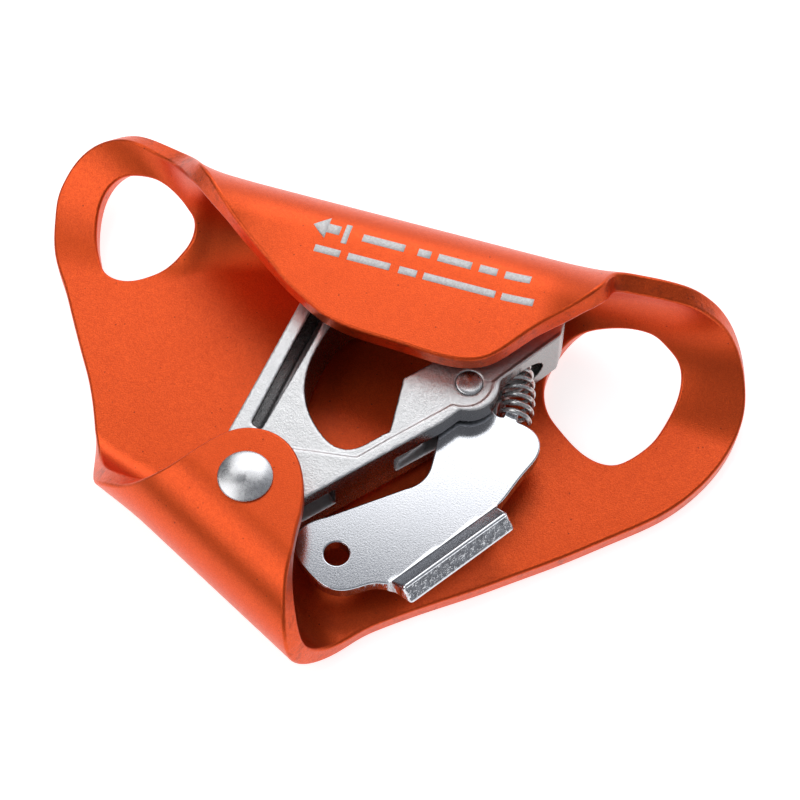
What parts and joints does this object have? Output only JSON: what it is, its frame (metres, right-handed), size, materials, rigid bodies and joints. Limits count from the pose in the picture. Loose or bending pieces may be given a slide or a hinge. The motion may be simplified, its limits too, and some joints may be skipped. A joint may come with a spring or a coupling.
{
  "type": "chest ascender",
  "caption": "Rope clamp bent from one plate, with a toothed sprung cam, a pivoting safety catch and an eye at each end; it slides up a rope and grips under load.",
  "frame": {"origin": "middle of the bounding box, on the plate's flat back", "axes": "+X along the rope channel towards the lower eye, +Y from the folded ear towards the channel, +Z away from the back"},
  "size_m": [0.1303, 0.0872, 0.0261],
  "materials": {
    "frame": "satin anodised",
    "cast": "blasted casting, chromed",
    "catch": "satin plated",
    "rivet": "satin",
    "spring": "drawn wire"
  },
  "bodies": {
    "frame": {"frame": "frame", "cam_rivet": "rivet", "cam_spring": "spring"},
    "cam": {"cam": "cast", "catch_pin": "rivet", "catch_spring": "spring"},
    "catch": {"catch": "catch"}
  },
  "joints": [
    {"name": "cam_pivot", "type": "hinge", "parent": "frame", "child": "cam", "pos_m": [-0.01068, -0.02036, 0.011], "axis": [0, 0, 1], "range_deg": [-24, 0], "stiffness_Nm_per_rad": 0.2, "springref_deg": 20.05, "deforming": ["cam_spring"]},
    {"name": "catch_pivot", "type": "hinge", "parent": "cam", "child": "catch", "pos_m": [0.01907, 0.00974, 0.0102], "axis": [0, 0, 1], "range_deg": [0, 28], "stiffness_Nm_per_rad": 0.1, "springref_deg": -20.05, "deforming": ["catch_spring"]}
  ]
}
